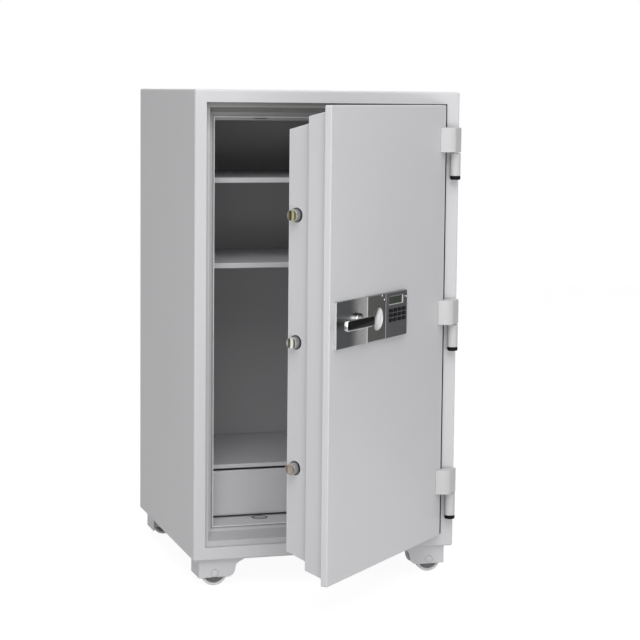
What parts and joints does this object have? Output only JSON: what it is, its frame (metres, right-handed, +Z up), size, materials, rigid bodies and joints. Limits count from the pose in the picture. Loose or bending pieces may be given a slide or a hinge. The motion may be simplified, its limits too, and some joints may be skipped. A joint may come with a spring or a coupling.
{
  "type": "fireproof data safe",
  "caption": "Tall double-walled fireproof cabinet on casters, with a thick stepped door standing ajar, round bolts, a lever handle, a keypad lock, shelves and a drawer.",
  "frame": {"origin": "middle of the base of the box round the whole safe with its door ajar, on the floor", "axes": "+Z up; the front faces -Y; +X is the viewer's right"},
  "size_m": [0.7, 1.155, 1.26],
  "materials": {
    "body_paint": "light grey powder coat with a fine texture",
    "inner_paint": "light grey paint, satin",
    "shelf_paint": "light grey paint, satin",
    "fire_fill": "pale fireproof filling, hidden inside the walls",
    "bright_steel": "turned bright steel",
    "brushed_plate": "long brushed satin plate",
    "dark_brushed_plate": "darker brushed satin plate",
    "chrome": "polished",
    "black_plastic": "black, satin",
    "key_plastic": "black keys, slightly glossy",
    "display": "dark green display window, glossy",
    "wheel_metal": "pale grey wheel, satin"
  },
  "bodies": {
    "cabinet": {"cabinet_casing": "body_paint", "door_frame": "body_paint", "cabinet_insulation": "fire_fill", "cabinet_liner": "inner_paint", "anchor_plug": "shelf_paint", "upper_shelf": "shelf_paint", "middle_shelf": "shelf_paint", "drawer_shelf": "shelf_paint", "hinge_knuckle_upper": "body_paint", "hinge_pin_upper": "bright_steel", "hinge_cap_upper": "black_plastic", "hinge_knuckle_middle": "body_paint", "hinge_pin_middle": "bright_steel", "hinge_cap_middle": "black_plastic", "hinge_knuckle_lower": "body_paint", "hinge_pin_lower": "bright_steel", "hinge_cap_lower": "black_plastic", "caster_bracket_front_left": "body_paint", "caster_bracket_front_right": "body_paint", "caster_bracket_rear_left": "body_paint", "caster_bracket_rear_right": "body_paint"},
    "door": {"door_panel": "body_paint", "door_step": "body_paint", "door_insulation": "fire_fill", "bolt_box": "body_paint", "door_back_cover": "body_paint", "hinge_leaf_upper": "body_paint", "hinge_leaf_middle": "body_paint", "hinge_leaf_lower": "body_paint", "lever_plate": "brushed_plate", "dish_plate": "dark_brushed_plate", "lock_dish": "chrome", "keypad_housing": "dark_brushed_plate", "display_window": "display"},
    "lever": {"lever_handle": "chrome", "lever_grip": "black_plastic", "lever_spindle": "chrome", "bolt_cam": "bright_steel"},
    "bolt_work": {"bolt_bar": "bright_steel", "bolt_upper": "bright_steel", "bolt_middle": "bright_steel", "bolt_lower": "bright_steel"},
    "drawer": {"drawer_front": "shelf_paint", "drawer_tray": "inner_paint"},
    "key_1_1": {"key_1_1": "key_plastic"},
    "key_1_2": {"key_1_2": "key_plastic"},
    "key_1_3": {"key_1_3": "key_plastic"},
    "key_1_4": {"key_1_4": "key_plastic"},
    "key_2_1": {"key_2_1": "key_plastic"},
    "key_2_2": {"key_2_2": "key_plastic"},
    "key_2_3": {"key_2_3": "key_plastic"},
    "key_2_4": {"key_2_4": "key_plastic"},
    "key_3_1": {"key_3_1": "key_plastic"},
    "key_3_2": {"key_3_2": "key_plastic"},
    "key_3_3": {"key_3_3": "key_plastic"},
    "key_3_4": {"key_3_4": "key_plastic"},
    "wheel_front_left": {"caster_wheel_front_left": "wheel_metal"},
    "wheel_front_right": {"caster_wheel_front_right": "wheel_metal"},
    "wheel_rear_left": {"caster_wheel_rear_left": "wheel_metal"},
    "wheel_rear_right": {"caster_wheel_rear_right": "wheel_metal"}
  },
  "joints": [
    {"name": "door_hinge", "type": "hinge", "parent": "cabinet", "child": "door", "pos_m": [0.333, -0.11104, 0.66575], "axis": [0, 0, 1], "range_deg": [-45, 135]},
    {"name": "lever_turn", "type": "hinge", "parent": "door", "child": "lever", "pos_m": [-0.05096, -0.46884, 0.71975], "axis": [0.7071, -0.7071, 0], "range_deg": [0, 90]},
    {"name": "bolt_slide", "type": "slide", "parent": "door", "child": "bolt_work", "axis": [0.7071, 0.7071, 0], "range_m": [0, 0.025]},
    {"name": "drawer_slide", "type": "slide", "parent": "cabinet", "child": "drawer", "axis": [0, -1, 0], "range_m": [0, 0.11]},
    {"name": "key_1_1_press", "type": "slide", "parent": "door", "child": "key_1_1", "axis": [-0.7071, 0.7071, 0], "range_m": [0, 0.0013], "stiffness_N_per_m": 300},
    {"name": "key_1_2_press", "type": "slide", "parent": "door", "child": "key_1_2", "axis": [-0.7071, 0.7071, 0], "range_m": [0, 0.0013], "stiffness_N_per_m": 300},
    {"name": "key_1_3_press", "type": "slide", "parent": "door", "child": "key_1_3", "axis": [-0.7071, 0.7071, 0], "range_m": [0, 0.0013], "stiffness_N_per_m": 300},
    {"name": "key_1_4_press", "type": "slide", "parent": "door", "child": "key_1_4", "axis": [-0.7071, 0.7071, 0], "range_m": [0, 0.0013], "stiffness_N_per_m": 300},
    {"name": "key_2_1_press", "type": "slide", "parent": "door", "child": "key_2_1", "axis": [-0.7071, 0.7071, 0], "range_m": [0, 0.0013], "stiffness_N_per_m": 300},
    {"name": "key_2_2_press", "type": "slide", "parent": "door", "child": "key_2_2", "axis": [-0.7071, 0.7071, 0], "range_m": [0, 0.0013], "stiffness_N_per_m": 300},
    {"name": "key_2_3_press", "type": "slide", "parent": "door", "child": "key_2_3", "axis": [-0.7071, 0.7071, 0], "range_m": [0, 0.0013], "stiffness_N_per_m": 300},
    {"name": "key_2_4_press", "type": "slide", "parent": "door", "child": "key_2_4", "axis": [-0.7071, 0.7071, 0], "range_m": [0, 0.0013], "stiffness_N_per_m": 300},
    {"name": "key_3_1_press", "type": "slide", "parent": "door", "child": "key_3_1", "axis": [-0.7071, 0.7071, 0], "range_m": [0, 0.0013], "stiffness_N_per_m": 300},
    {"name": "key_3_2_press", "type": "slide", "parent": "door", "child": "key_3_2", "axis": [-0.7071, 0.7071, 0], "range_m": [0, 0.0013], "stiffness_N_per_m": 300},
    {"name": "key_3_3_press", "type": "slide", "parent": "door", "child": "key_3_3", "axis": [-0.7071, 0.7071, 0], "range_m": [0, 0.0013], "stiffness_N_per_m": 300},
    {"name": "key_3_4_press", "type": "slide", "parent": "door", "child": "key_3_4", "axis": [-0.7071, 0.7071, 0], "range_m": [0, 0.0013], "stiffness_N_per_m": 300},
    {"name": "wheel_front_left_roll", "type": "hinge", "parent": "cabinet", "child": "wheel_front_left", "pos_m": [-0.29, -0.05854, 0.033], "axis": [0, 1, 0], "continuous": true},
    {"name": "wheel_front_right_roll", "type": "hinge", "parent": "cabinet", "child": "wheel_front_right", "pos_m": [0.29, -0.05854, 0.033], "axis": [0, 1, 0], "continuous": true},
    {"name": "wheel_rear_left_roll", "type": "hinge", "parent": "cabinet", "child": "wheel_rear_left", "pos_m": [-0.29, 0.54346, 0.033], "axis": [0, 1, 0], "continuous": true},
    {"name": "wheel_rear_right_roll", "type": "hinge", "parent": "cabinet", "child": "wheel_rear_right", "pos_m": [0.29, 0.54346, 0.033], "axis": [0, 1, 0], "continuous": true}
  ],
  "couplings": [
    {"joint": "bolt_slide", "follows": "lever_turn", "m_per_rad": 0.015915}
  ]
}
